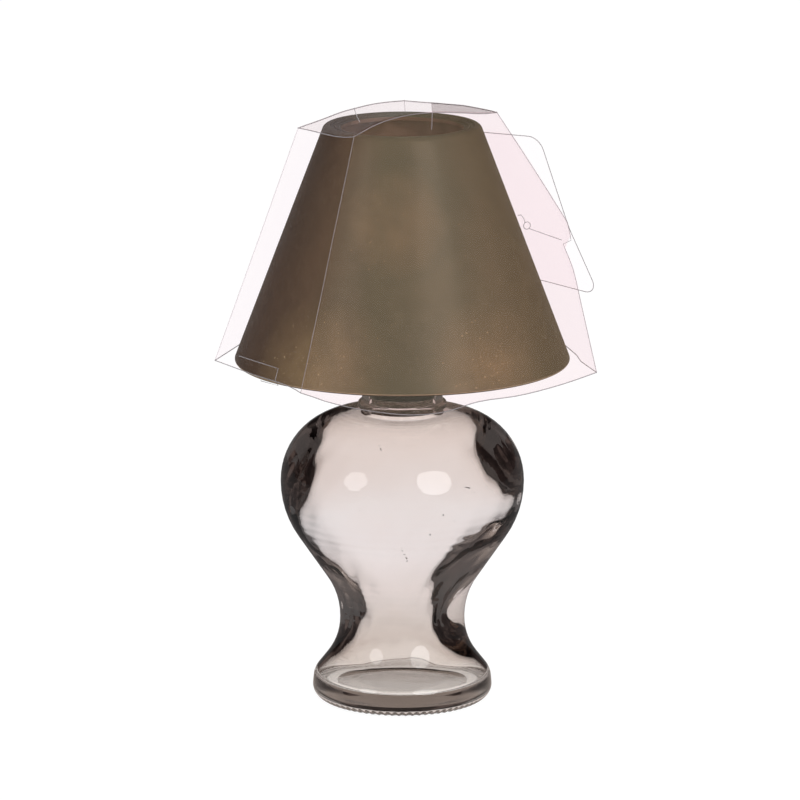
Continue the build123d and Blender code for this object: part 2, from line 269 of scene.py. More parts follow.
# %% The floor
PAPER_GLOW = 0.93
PAPER_WHITE = 0.92
SHADED_SHARE = 0.14
FLOOR_REACH = 12.0
floor_mesh = bpy.data.meshes.new("floor")
floor_corners = [(x * FLOOR_REACH, y * FLOOR_REACH, 0) for x, y in ((-1, -1), (1, -1), (1, 1), (-1, 1))]
floor_mesh.from_pydata(floor_corners, [], [(0, 1, 2, 3)])
floor = add_object("floor", floor_mesh)
paper, tree, default_shader = new_finish("white_paper")
tree.nodes.remove(default_shader)
matt = set_inputs(node(tree, "BsdfDiffuse"), Color=grey(PAPER_WHITE))
away = vector_sums(tree, "LENGTH", node(tree, "NewGeometry").outputs["Position"])
paper_tone = bands(tree, away, [
    (0.05, colour(150, 140, 132)), (0.11, colour(60, 50, 48)), (0.3, colour(26, 21, 21)),
])
studio, seen = backdrop(tree, paper_tone, PAPER_GLOW)
shaded = set_inputs(node(tree, "BsdfDiffuse"), Color=grey(SHADED_SHARE))
glowing = node(tree, "AddShader")
join(tree, studio, glowing.inputs[0])
join(tree, shaded.outputs[0], glowing.inputs[1])
lit_or_seen = either(tree, seen, matt.outputs[0], glowing.outputs[0])
join(tree, lit_or_seen, tree.nodes["Material Output"].inputs["Surface"])
floor_mesh.materials.append(paper)
print("floor reaches", FLOOR_REACH, "m each way")

# %% [markdown]
# ## Two soft boxes
# The bulb of the base carries two oval highlights, a broad one right of the middle and a smaller one on
# the left. On a ball, a highlight sits half way between the eye and the lamp, so these give the lamps'
# directions. Oval area lights are used because the highlights have no corners. They are brighter in
# reflections than as plain light, and light that has passed through glass doesn't see them.

# %% The lamps
LAMP_TARGET = Vector((0, 0, 0.13))
LAMPS = (
    # name, angle to the right, angle up, distance, width, height in metres, watts
    ("soft_box_right", 32, 24, 1.3, 0.74, 0.94, 7.0),
    ("soft_box_left", -47, 22, 1.3, 0.52, 0.62, 2.4),
)
MIRRORED_GAIN = 4.5
for name, right, up, distance, width, height, power in LAMPS:
    light = bpy.data.lights.new(name, "AREA")
    light.shape = "ELLIPSE"
    light.size = width
    light.size_y = height
    light.energy = power
    light.use_nodes = True
    tree = light.node_tree
    path = node(tree, "LightPath")
    direct = sums(tree, "LESS_THAN", path.outputs["Transmission Depth"], AT_LEAST_ONCE)
    mirrored = sums(tree, "MULTIPLY", path.outputs["Is Glossy Ray"], MIRRORED_GAIN - 1)
    gain = sums(tree, "ADD", 1.0, mirrored)
    join(tree, sums(tree, "MULTIPLY", direct, gain), tree.nodes["Emission"].inputs["Strength"])
    lamp = add_object(name, light)
    turn = math.radians(right)
    rise = math.radians(up)
    away = Vector((math.sin(turn) * math.cos(rise), -math.cos(turn) * math.cos(rise), math.sin(rise)))
    lamp.location = LAMP_TARGET + away * distance
    lamp.rotation_euler = away.to_track_quat("Z", "Y").to_euler()
    print(name, "at", [round(v, 2) for v in lamp.location])

# %% [markdown]
# ## Turning a round piece
# The base, the shade and the candle are round. Blender could spin a drawn curve, but an outline of
# corners, each with its rounding, is how a turner would note it, and it keeps the same sizes as the solid
# model. Every point of the outline becomes a ring of points, and rings may differ with the angle, so that
# uneven glass is possible.

# %% Outlines with rounded corners
TURN_STEP = 6.0
NEARLY_STRAIGHT = 1.57
SAME_PLACE = 1e-4


def bend_radius(before, corner, after, tangent):
    """Radius of the arc that touches both sides of a corner at a tangent length from it."""
    one = Vector(corner) - Vector(before)
    two = Vector(after) - Vector(corner)
    return tangent / math.tan(one.angle(two) / 2)


def moved_in(before, corner, after, wall):
    """A corner of an outline, moved in by a wall that is square to both of its sides."""
    one = (Vector(corner) - Vector(before)).normalized()
    two = (Vector(after) - Vector(corner)).normalized()
    across = Vector((-one.y - two.y, one.x + two.x))
    return tuple(Vector(corner) + across * wall / (1 + one.dot(two)))


def rounded(corners, gap=1.6):
    """Points along an outline of (radius, height, rounding) corners, no further apart than the gap."""
    points = [Vector(corners[0][:2])]
    for before, here, after in zip(corners, corners[1:], corners[2:]):
        corner = Vector(here[:2])
        back = (Vector(before[:2]) - corner).normalized()
        ahead = (Vector(after[:2]) - corner).normalized()
        half = back.angle(ahead) / 2
        if here[2] == 0 or half > NEARLY_STRAIGHT:
            points.append(corner)
            continue
        middle = corner + (back + ahead).normalized() * here[2] / math.sin(half)
        reach = here[2] / math.tan(half)
        start = corner + back * reach - middle
        sweep = start.angle_signed(corner + ahead * reach - middle)
        steps = max(2, math.ceil(abs(math.degrees(sweep)) / TURN_STEP))
        for step in range(steps + 1):
            angle = -sweep * step / steps
            turned = Vector((
                start.x * math.cos(angle) - start.y * math.sin(angle),
                start.x * math.sin(angle) + start.y * math.cos(angle),
            ))
            points.append(middle + turned)
    points.append(Vector(corners[-1][:2]))
    spaced = [points[0]]
    for start, end in zip(points, points[1:]):
        length = (end - start).length
        if length < SAME_PLACE:
            continue
        pieces = max(1, math.ceil(length / gap))
        spaced += [start.lerp(end, (k + 1) / pieces) for k in range(pieces)]
    return spaced


print("outline helpers ready")


# %% Rings of points and the skin over them
def round_angles(count):
    """Even angles round the lamp's axis."""
    return np.arange(count) * math.tau / count


def ring(radius, height, count):
    """One ring of points about the lamp's axis."""
    angles = round_angles(count)
    return np.stack([radius * np.cos(angles), radius * np.sin(angles), np.full(count, height)], axis=1)


def on_axis(height):
    """A ring of one point, which closes a piece on the lamp's axis."""
    return np.array([[0, 0, height]])


def tidy_normals(mesh):
    """Make faces point out of the piece and shade smoothly."""
    work = bmesh.new()
    work.from_mesh(mesh)
    bmesh.ops.recalc_face_normals(work, faces=work.faces)
    work.to_mesh(mesh)
    work.free()
    mesh.shade_smooth()


def skin(name, rings, closed=False):
    """A mesh object over rings of points. A ring may have a multiple of its neighbour's count."""
    points = np.concatenate(rings)
    starts = np.cumsum([0] + [len(r) for r in rings])
    faces = []
    pairs = list(zip(range(len(rings)), range(1, len(rings))))
    if closed:
        pairs.append((len(rings) - 1, 0))
    for low, high in pairs:
        few, many = len(rings[low]), len(rings[high])
        count = max(1, min(few, many))
        for k in range(count):
            bottom = [starts[low] + (k * few // count + j) % few for j in range(few // count + 1)]
            top = [starts[high] + (k * many // count + j) % many for j in range(many // count + 1)]
            corners = list(dict.fromkeys(bottom + top[::-1]))
            if len(corners) > 2:
                faces.append(corners)
    mesh = bpy.data.meshes.new(name)
    mesh.from_pydata((points * MILLIMETRE).tolist(), [], [[int(v) for v in f] for f in faces])
    mesh.validate()
    made = add_object(name, mesh)
    tidy_normals(mesh)
    return made


print("skin helpers ready")

# %% [markdown]
# ## The glass base, outside
# The base was blown into a mould: a foot, a narrow waist, a bulb with a round shoulder, and a neck with a
# bead. The mould gives the outside a clean outline, so it is written as corners with roundings. Where the
# photograph shows how far a curve runs along its sides, the rounding's radius is worked out from that run.

# %% Outline of the base
FOOT_RADIUS = 43.9
FOOT_EDGE_ROUND = 6.0
FOOT_TOP = (42.6, 12.5)
FOOT_TOP_ROUND = 8.0
BEARING_INNER = 30.9
PUNT_DEPTH = 1.2
PUNT_SLOPE = 10.0
PUNT_ROUND = 30.0
WAIST_LOW = (30.0, 28.7)
WAIST_HIGH = (30.0, 51.1)
BULB_LOW = (58.4, 92.9)
SHOULDER = (58.4, 140.8)
WAIST_LOW_RUN = 10.5
WAIST_HIGH_RUN = 11.3
BULB_RUN = 13.8
SHOULDER_ROUND = 33.5
NECK_RADIUS = 19.3
NECK_FOOT_ROUND = 0.8
NECK_TOP = 160.0
NECK_BEAD = (
    # out from the neck, up from the shoulder, rounding
    (0, 2.0, 0.6),
    (1.9, 2.4, 1.2),
    (1.9, 5.2, 1.2),
    (0, 5.8, 0.6),
)
LIP_ROUND = 1.2
LIP_HALF = 1.7
FIRST_RING = 1.5

waist_low_bend = bend_radius(FOOT_TOP, WAIST_LOW, WAIST_HIGH, WAIST_LOW_RUN)
waist_high_bend = bend_radius(WAIST_LOW, WAIST_HIGH, BULB_LOW, WAIST_HIGH_RUN)
bulb_bend = bend_radius(WAIST_HIGH, BULB_LOW, SHOULDER, BULB_RUN)
outside = rounded([
    (FIRST_RING, PUNT_DEPTH, 0),
    (BEARING_INNER - PUNT_SLOPE, PUNT_DEPTH, PUNT_ROUND),
    (BEARING_INNER, 0, 0),
    (FOOT_RADIUS, 0, FOOT_EDGE_ROUND),
    (*FOOT_TOP, FOOT_TOP_ROUND),
    (*WAIST_LOW, waist_low_bend),
    (*WAIST_HIGH, waist_high_bend),
    (*BULB_LOW, bulb_bend),
    (*SHOULDER, SHOULDER_ROUND),
    (NECK_RADIUS, SHOULDER[1], NECK_FOOT_ROUND),
    *[(NECK_RADIUS + out, SHOULDER[1] + up, bend) for out, up, bend in NECK_BEAD],
    (NECK_RADIUS, NECK_TOP, LIP_ROUND),
    (NECK_RADIUS - LIP_HALF, NECK_TOP, 0),
])
print(len(outside), "points on the outside")

# %% [markdown]
# ## The glass base, inside
# Nothing shapes the inside but the breath of the glassblower, so the wall runs thick and thin. This
# matters more than any colour: thick places bend light sideways and look dark, thin ones are clear. The
# wall is an even one with swellings added, each a thickness at an angle and a height with its spread, and
# with low ripples over all.

# %% Outline of the cavity
NECK_BORE = 15.9
GLASS_WALL = 5.0
SHOULDER_WALL = 3.0
CAVITY_FLOOR = (41.0, 10.5)
CAVITY_FLOOR_ROUND = 1.2
CAVITY_NECK_ROUND = 3.0

inner_waist_high = moved_in(WAIST_LOW, WAIST_HIGH, BULB_LOW, GLASS_WALL)
inner_bulb_low = moved_in(WAIST_HIGH, BULB_LOW, SHOULDER, GLASS_WALL)
inner_shoulder = (SHOULDER[0] - GLASS_WALL, SHOULDER[1] - SHOULDER_WALL)
inner_waist_low = (inner_waist_high[0], WAIST_LOW[1])
inside = rounded([
    (NECK_BORE + LIP_HALF, NECK_TOP, 0),
    (NECK_BORE, NECK_TOP, LIP_ROUND),
    (NECK_BORE, inner_shoulder[1], CAVITY_NECK_ROUND),
    (*inner_shoulder, SHOULDER_ROUND - SHOULDER_WALL),
    (*inner_bulb_low, bulb_bend - GLASS_WALL),
    (*inner_waist_high, waist_high_bend + GLASS_WALL),
    (*inner_waist_low, bend_radius(CAVITY_FLOOR, inner_waist_low, inner_waist_high, WAIST_LOW_RUN)),
    (*CAVITY_FLOOR, CAVITY_FLOOR_ROUND),
    (FIRST_RING, CAVITY_FLOOR[1], 0),
])
print(len(inside), "points on the inside")

# %% Uneven inner wall
SWELLINGS = (
    # millimetres thick, angle, its spread, height, its spread
    (7.0, 184, 36, 120, 16),
    (-2.0, 188, 40, 78, 14),
    (3.5, 186, 34, 55, 20),
    (1.5, 165, 24, 34, 9),
    (8.0, -6, 37, 123, 14),
    (-2.2, -4, 36, 101, 10),
    (10.0, -12, 34, 67, 15),
    (9.0, -10, 34, 44, 15),
    (6.0, 95, 32, 105, 22),
    (4.0, 70, 26, 62, 12),
)
RIPPLES = (
    # millimetres high, waves round the base, waves per metre of height, start
    (0.60, 3, 9.0, 0.0),
    (0.35, 5, -17.0, 1.0),
    (0.16, 11, 24.0, 2.1),
    (0.07, 23, -38.0, 0.4),
)
RIPPLES_RISE = (22, 50)


def smooth_step(value, start, end):
    """0 before the start, 1 past the end, and a smooth rise between."""
    share = np.clip((value - start) / (end - start), 0, 1)
    return share * share * (3 - 2 * share)


def extra_wall(angles, height):
    """How much thicker than even the wall is, round the base at one height."""
    extra = np.zeros_like(angles)
    for thick, angle, spread, middle, reach in SWELLINGS:
        turn = (np.degrees(angles) - angle + 180) % 360 - 180
        extra += thick * np.exp(-(turn / spread) ** 2 - ((height - middle) / reach) ** 2)
    calm = float(smooth_step(height, *RIPPLES_RISE))
    for rise, waves, climb, start in RIPPLES:
        extra += calm * rise * np.sin(waves * angles + climb * height * math.tau / 1000 + start)
    return extra


print(len(SWELLINGS), "swellings in the wall")

# %% [markdown]
# ## Skin of the base
# Under the foot is a ring of small knurls that the lamp stands on. A bump in the material could fake
# them, but they show in the outline of the foot, so the rings of points there are finer and rise and
# fall. Inside, each ring moves in by the extra wall. The neck and the floor stay even, because the cup
# stands in the one and the other is flat.

# %% The blown base
SEGMENTS = 228
KNURLS = 76
KNURL_SAMPLES = 12
KNURL_DEPTH = 0.5
KNURL_FADE_UP = (3.2, 2.4)
KNURL_FADE_IN = (36.9, 38.2)
EVEN_NECK = (137, 126)
EVEN_FLOOR = (12, 26)
glass_rings = []
for point in outside:
    knurled = point.y < KNURL_FADE_UP[0] and point.x > KNURL_FADE_IN[0]
    rows = ring(point.x, point.y, KNURLS * KNURL_SAMPLES if knurled else SEGMENTS)
    if knurled:
        waves = 0.5 + 0.5 * np.cos(KNURLS * round_angles(len(rows)))
        fade = float(smooth_step(point.y, *KNURL_FADE_UP)) * float(smooth_step(point.x, *KNURL_FADE_IN))
        rows[:, 2] += KNURL_DEPTH * fade * waves
    glass_rings.append(rows)
for point in inside:
    rows = ring(point.x, point.y, SEGMENTS)
    angles = round_angles(SEGMENTS)
    share = float(smooth_step(point.y, *EVEN_NECK)) * float(smooth_step(point.y, *EVEN_FLOOR))
    if point.x > NECK_BORE and share > 0:
        radius = point.x - share * extra_wall(angles, point.y)
        rows[:, 0] = radius * np.cos(angles)
        rows[:, 1] = radius * np.sin(angles)
    glass_rings.append(rows)
glass = skin("glass_base_blown", [on_axis(PUNT_DEPTH), *glass_rings, on_axis(CAVITY_FLOOR[1])])
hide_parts("glass_base")
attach(glass, "base")
print(len(glass.data.polygons), "faces on the base")

# %% [markdown]
# ## Seeds in the glass
# Blown glass keeps small air bubbles, which glassmakers call seeds. Each is a small closed hollow inside
# the wall, a little longer than wide because the glass was drawn. They could be dots in the colour, but
# only a hollow bends the light as a bubble does. Their faces point into the hollow, because the glass is
# outside them.

# %% Seeds
SEEDS = 34
SEED_DICE = 11
SEED_SIZES = (0.15, 0.4)
SEED_STRETCH = (1.0, 1.5)
SEED_HEIGHTS = (24, 128)
SEED_DEPTHS = (1.3, 2.6)
SIDE_LOW = 16
SIDE_HIGH = 134
CLEAR_OF_NECK = 4
dice = np.random.default_rng(SEED_DICE)
side = [p for p in outside if SIDE_LOW < p.y < SIDE_HIGH and p.x > NECK_RADIUS + CLEAR_OF_NECK]
side_heights = [p.y for p in side]
side_radii = [p.x for p in side]
work = bmesh.new()
work.from_mesh(glass.data)
for _ in range(SEEDS):
    angle = dice.uniform(0, math.tau)
    height = dice.uniform(*SEED_HEIGHTS)
    radius = np.interp(height, side_heights, side_radii) - dice.uniform(*SEED_DEPTHS)
    size = dice.uniform(*SEED_SIZES) * MILLIMETRE
    middle = Vector((radius * math.cos(angle), radius * math.sin(angle), height)) * MILLIMETRE
    stretch = Matrix.Diagonal((1, 1, dice.uniform(*SEED_STRETCH), 1))
    seed = bmesh.ops.create_icosphere(
        work, subdivisions=2, radius=size, matrix=Matrix.Translation(middle) @ stretch
    )
    hollow = list({face for point in seed["verts"] for face in point.link_faces})
    bmesh.ops.reverse_faces(work, faces=hollow)
    for face in hollow:
        face.smooth = True
work.to_mesh(glass.data)
work.free()
print(SEEDS, "seeds in the glass")

# %% [markdown]
# ## Smoke glass
# The glass has a weak brown-grey smoke tint that deepens where the wall is thick. Absorption in the volume
# gives the depth, and a tint that changes with the height makes the glass darker just above the foot and
# towards the shoulder, and lighter between. Shadow rays pass straight through, or the base would stand in
# a black shadow. The bearing ring and a pool on the floor inside are a little rough, which blurs what is
# seen through them.

# %% Finish of the base
SMOKE_TINTS = [
    # share of the height, tint
    (0.0, (0.98, 0.96, 0.94, 1)), (0.075, (0.99, 0.95, 0.92, 1)), (0.145, (0.81, 0.742, 0.70, 1)),
    (0.27, (0.875, 0.828, 0.806, 1)), (0.39, (0.98, 0.924, 0.913, 1)), (0.52, (1.0, 0.978, 0.983, 1)),
    (0.74, (0.948, 0.874, 0.842, 1)), (0.88, (0.955, 0.88, 0.845, 1)),
]
SMOKE = (0.62, 0.55, 0.52, 1)
SMOKE_DENSITY = 14.0
SMOKE_SHADOW = (0.86, 0.82, 0.81, 1)
GROUND_ROUGHNESS = 0.15


def smoke_glass(name, roughness):
    """Smoke-tinted glass, deeper in colour where it is thick, and more so at the foot and the shoulder."""
    made, tree, shine = new_finish(name)
    set_inputs(shine, Roughness=roughness, IOR=1.5, Transmission_Weight=1.0)
    height = axis_of(tree, node(tree, "TexCoord").outputs["Object"], "Z")
    share = sums(tree, "MULTIPLY", height, 1 / (NECK_TOP * MILLIMETRE))
    join(tree, bands(tree, share, SMOKE_TINTS), shine.inputs["Base Color"])
    clear = set_inputs(node(tree, "BsdfTransparent"), Color=SMOKE_SHADOW)
    shadow = node(tree, "LightPath").outputs["Is Shadow Ray"]
    smoky = set_inputs(node(tree, "VolumeAbsorption"), Color=SMOKE, Density=SMOKE_DENSITY)
    output = tree.nodes["Material Output"]
    join(tree, either(tree, shadow, shine.outputs[0], clear.outputs[0]), output.inputs["Surface"])
    join(tree, smoky.outputs[0], output.inputs["Volume"])
    return made


glass.data.materials.append(smoke_glass("smoke_glass_clear", 0.0))
glass.data.materials.append(smoke_glass("smoke_glass_ground", GROUND_ROUGHNESS))
print("smoke glass ready")

# %% Where the glass is ground
GROUND_HEIGHT = 1.2
POOL_RADIUS = 18.0
POOL_LOBES = (
    # share of the radius, lobes round the pool, start
    (0.16, 2, 0.5),
    (0.09, 3, 2.0),
    (0.05, 7, 0.0),
)
ON_FLOOR = 0.1
ground_faces = 0
for face in glass.data.polygons:
    x, y, z = face.center / MILLIMETRE
    angle = math.atan2(y, x)
    lobes = 1 + sum(share * math.cos(count * angle + start) for share, count, start in POOL_LOBES)
    in_pool = abs(z - CAVITY_FLOOR[1]) < ON_FLOOR and math.hypot(x, y) < POOL_RADIUS * lobes
    face.material_index = 1 if z < GROUND_HEIGHT or in_pool else 0
    ground_faces += face.material_index
print(ground_faces, "ground faces")

# %% [markdown]
# ## The painted shade
# The shade is a glass cone with a turned-in top. Its outline carries the rolled lines round the top
# opening and the ground rim at the bottom, because both catch the light as thin lines. A bevel on a plain
# cone would give the rim, but not the lines, so both are corners of one outline.

# %% Skin of the shade
SHADE_BOTTOM = 166.0
SHADE_TOP = 280.0
SHADE_BOTTOM_RADIUS = 80.5
SHADE_TOP_RADIUS = 37.1
SHADE_OPENING = 29.2
SHADE_WALL_ACROSS = 3.75
SHADE_TOP_WALL = 3.6
SHADE_TAPER = (SHADE_BOTTOM_RADIUS - SHADE_TOP_RADIUS) / (SHADE_TOP - SHADE_BOTTOM)
RIM_ROUND = 1.2
SHADE_TOP_ROUND = 3.0
OPENING_ROUND = 0.6
SHADE_INNER_ROUND = 2.0
SHADE_SEGMENTS = 192
ROLLED_LINES = (
    # radius, depth under the top, rounding
    (34.2, 0, 0.5),
    (33.8, 0.9, 0.3),
    (32.6, 0.9, 0.3),
    (32.2, 0.3, 0.4),
    (31.2, 0.3, 0.4),
    (30.8, 1.2, 0.3),
    (SHADE_OPENING, 1.2, OPENING_ROUND),
)


def cone_radius(height):
    """Outer radius of the shade's cone at a height."""
    return SHADE_BOTTOM_RADIUS - SHADE_TAPER * (height - SHADE_BOTTOM)


under_top = SHADE_TOP - SHADE_TOP_WALL
rim_middle = (SHADE_BOTTOM_RADIUS - SHADE_WALL_ACROSS / 2, SHADE_BOTTOM, 0)
shade_outline = rounded([
    rim_middle,
    (SHADE_BOTTOM_RADIUS, SHADE_BOTTOM, RIM_ROUND),
    (SHADE_TOP_RADIUS, SHADE_TOP, SHADE_TOP_ROUND),
    *[(radius, SHADE_TOP - depth, bend) for radius, depth, bend in ROLLED_LINES],
    (SHADE_OPENING, under_top, OPENING_ROUND),
    (cone_radius(under_top) - SHADE_WALL_ACROSS, under_top, SHADE_INNER_ROUND),
    (SHADE_BOTTOM_RADIUS - SHADE_WALL_ACROSS, SHADE_BOTTOM, RIM_ROUND),
    rim_middle,
], gap=4.0)
shade = skin("shade_painted", [ring(p.x, p.y, SHADE_SEGMENTS) for p in shade_outline[:-1]], closed=True)
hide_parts("shade")
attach(shade, "shade")
print(len(shade.data.polygons), "faces on the shade")

# %% [markdown]
# ## Satin taupe paint
# The cone has a satin taupe paint with a fine metallic grain. Its own colour is an olive taupe, and round
# the cone it is painted darker and browner towards the left and the right, as painted shade where the cone
# turns away from the light. A few lighter, warmer patches are painted reflections and a painted sheen on
# the satin. One flat colour would look like plastic. Here a tone that changes round the cone is multiplied
# by clouds and by grain, and the patches of painted light are laid over it. A weak coat with a high index
# gives the soft upright sheen without whitening the edges.

# %% Paint: tones and painted side shade round the cone
CLOUD_SCALE = 16.0
GRAIN_SCALE = 110.0
taupe, tree, shine = new_finish("taupe_paint")
set_inputs(shine, Metallic=0.08, Specular_IOR_Level=0.0)
set_inputs(shine, Coat_Weight=0.035, Coat_Roughness=0.28, Coat_IOR=2.2)
place = node(tree, "TexCoord").outputs["Object"]
from_axis = vector_sums(tree, "LENGTH", vector_sums(tree, "MULTIPLY", place, (1, 1, 0)))
turn = sums(tree, "DIVIDE", axis_of(tree, place, "X"), from_axis)
# The paint's olive taupe, painted darker and browner towards the left and right edges: painted shade where
# the cone turns away from the light.
tone_and_side_shade = bands(tree, sums(tree, "ADD", sums(tree, "MULTIPLY", turn, 0.5), 0.5), [
    (0.03, colour(76, 61, 49)), (0.17, colour(95, 78, 61)), (0.4, colour(93, 87, 66)),
    (0.7, colour(97, 91, 71)), (0.86, colour(100, 88, 66)), (1.0, colour(88, 71, 46)),
])
cloudy = bands(tree, noise(tree, place, CLOUD_SCALE, 2.0), [
    (0.38, (0.88, 0.91, 0.92, 1)), (0.52, grey(0.95)), (0.66, (1.0, 0.98, 0.96, 1)),
])
grain = bands(tree, noise(tree, place, GRAIN_SCALE, 3.0), [(0.3, grey(0.95)), (0.7, grey(1.05))])
clouds = blend_colours(tree, 1.0, tone_and_side_shade, cloudy, "MULTIPLY")
grained = blend_colours(tree, 1.0, clouds, grain, "MULTIPLY")
print("tones of the paint ready")

# %% Paint: painted reflections, painted sheen and flake specks
PAINTED_LIGHT_PATCHES = (
    # painted reflections and sheen on the satin: x, y, z and reach in millimetres
    (-42.0, -66.0, 173.0, 39.0),
    (44.0, -66.0, 177.0, 34.0),
    (-4.0, -62.0, 247.0, 30.0),
)
RAGGED_SCALE = 55.0
RAGGED_GAIN = 1.7
FLAKE_SCALE = 900.0
FLAKES_IN_PAINTED_LIGHT = 0.14
# thin sums the patches of painted light: warm painted reflections low on the cone and a painted sheen
# higher up. They are laid over the paint in a lighter, warmer colour.
thin = 0.0
for x, y, z, reach in PAINTED_LIGHT_PATCHES:
    gap = vector_sums(tree, "DISTANCE", place, (x * MILLIMETRE, y * MILLIMETRE, z * MILLIMETRE))
    nearness = sums(tree, "SUBTRACT", 1.0, sums(tree, "DIVIDE", gap, reach * MILLIMETRE))
    thin = sums(tree, "ADD", thin, sums(tree, "MAXIMUM", nearness, 0.0))
ragged = sums(tree, "MULTIPLY", noise(tree, place, RAGGED_SCALE, 4.0, 0.65), RAGGED_GAIN)
thin = sums(tree, "MULTIPLY", thin, ragged)
with_painted_light = blend_colours(tree, thin, grained, colour(127, 108, 79))
# Pale specks: the paint's metallic grain with its glints painted in as colour, more of them in the painted
# light.
more_flakes = sums(tree, "MULTIPLY", thin, FLAKES_IN_PAINTED_LIGHT)
flake_glint_noise = sums(tree, "ADD", noise(tree, place, FLAKE_SCALE, 0.0), more_flakes)
flakes_and_glints = bands(tree, flake_glint_noise, [(0.84, grey(0)), (0.9, grey(0.7))])
speckled = blend_colours(tree, flakes_and_glints, with_painted_light, colour(184, 158, 120))
print(len(PAINTED_LIGHT_PATCHES), "thin places in the paint")

# %% [markdown]
# ## Inside and rim of the shade
# The inside of the cone is painted lighter and warmer than the outside, as painted light for the light
# that falls in through the openings. Along the lower rim runs a thin dark line, the colour of the ground
# edge, with a pale painted highlight over it. Each could have a material of its own. Here they are told
# apart by where they are on the cone, so that the edge between two tones doesn't depend on where the faces
# end.

# %% Paint: painted light inside, rim with a painted highlight, and satin
CONE_FOOT = SHADE_BOTTOM_RADIUS + SHADE_TAPER * SHADE_BOTTOM
INNER_DEPTH = 2.4
INNER_TOP = SHADE_TOP - 1.6
INNER_SCALE = 60.0
RIM_STRETCH = 250.0
SATIN_SCALE = 80.0
ORANGE_PEEL_SCALE = 90.0
ORANGE_PEEL = (0.02, 0.0006)
height = axis_of(tree, place, "Z")
leant = sums(tree, "ADD", from_axis, sums(tree, "MULTIPLY", height, SHADE_TAPER))
from_cone = sums(tree, "SUBTRACT", leant, CONE_FOOT * MILLIMETRE)
inner = sums(tree, "LESS_THAN", from_cone, -INNER_DEPTH * MILLIMETRE)
below_top = sums(tree, "LESS_THAN", height, INNER_TOP * MILLIMETRE)
# Painted light: the inside of the cone is lighter and warmer, where light falls in.
inner_tone_and_light = bands(tree, noise(tree, place, INNER_SCALE, 2.0), [
    (0.4, colour(120, 95, 77)), (0.6, colour(142, 114, 93)),
])
over_rim = sums(tree, "SUBTRACT", height, SHADE_BOTTOM * MILLIMETRE)
rim_place = sums(tree, "MULTIPLY", over_rim, RIM_STRETCH)
rim_share = bands(tree, rim_place, [(0.2, grey(1)), (0.3, grey(0))])
# The rim's own dark line at its edge, with a pale painted highlight above it.
rim_line_and_highlight = bands(tree, rim_place, [(0.12, colour(58, 40, 32)), (0.2, colour(168, 146, 118))])
coated = blend_colours(tree, sums(tree, "MULTIPLY", inner, below_top), speckled, inner_tone_and_light)
join(tree, blend_colours(tree, rim_share, coated, rim_line_and_highlight), shine.inputs["Base Color"])
satin = bands(tree, noise(tree, place, SATIN_SCALE, 3.0), [(0.3, grey(0.22)), (0.7, grey(0.3))])
join(tree, satin, shine.inputs["Roughness"])
relief(tree, shine, noise(tree, place, ORANGE_PEEL_SCALE, 2.0), *ORANGE_PEEL)
shade.data.materials.append(taupe)
print("paint ready")

# %% [markdown]
# ## The clear film
# A sheet of stiff clear plastic is folded round the cone as it left the shop. Between its four folds it
# lies on the cone or is drawn straight, so in plan it's straight lines and arcs. Each height gets such a
# plan, and the cut edges at the top and the bottom trim it. Cloth tools would make it too soft: this film
# only bends one way.

# %% Folds of the film
FILM_GAP = 0.3
FILM = 0.4
SLIT_HEIGHT = 238.0
FOLDS = (
    # angles at the rim, the slit and the top, and how far each place stands off the cone
    ((192.5, 192.9, 193.3), (11.9, 12.7, 13.4)),
    ((241.7, 243.0, 244.4), (20.2, 17.6, 16.0)),
    ((333.4, 340.2, 344.0), (22.4, 29.3, 14.6)),
    ((444.2, 446.3, 448.7), (11.2, 12.9, 14.0)),
)
JOG_HEIGHT = 230.0
DOG_EAR = 2.6
DOG_EAR_REACH = 9.0
LOWER_SETBACK = 2.0


def along_fold(values, height):
    """One of a fold's values at a height, from its values at the rim, the slit and the top."""
    low, middle, high = values
    if height < SLIT_HEIGHT:
        return low + (middle - low) * (height - SHADE_BOTTOM) / (SLIT_HEIGHT - SHADE_BOTTOM)
    return middle + (high - middle) * (height - SLIT_HEIGHT) / (SHADE_TOP - SLIT_HEIGHT)


def fold_places(height):
    """Angle and distance from the axis of every fold at one height, and of the first again at the end."""
    places = []
    for angles, standoffs in FOLDS:
        angle = math.radians(along_fold(angles, height))
        places.append((angle, cone_radius(height) + along_fold(standoffs, height)))
    if SHADE_BOTTOM < height < JOG_HEIGHT:
        drop = JOG_HEIGHT - height
        setback = LOWER_SETBACK * (1 - (drop / (JOG_HEIGHT - SHADE_BOTTOM)) ** 2)
        setback += DOG_EAR * math.exp(-((drop / DOG_EAR_REACH) ** 2))
        places[2] = (places[2][0], places[2][1] - setback)
    places.append((places[0][0] + math.tau, places[0][1]))
    return places


print(len(FOLDS), "folds in the film")

# %% Plans of the film
STRAIGHT_POINTS = 10
ARC_POINTS = 22
PLANS = 73
PLANS_BELOW = 14
PLANS_ABOVE = 16


def polar(angle, distance):
    """A point in plan at an angle and a distance from the axis."""
    return np.array([distance * math.cos(angle), distance * math.sin(angle)])


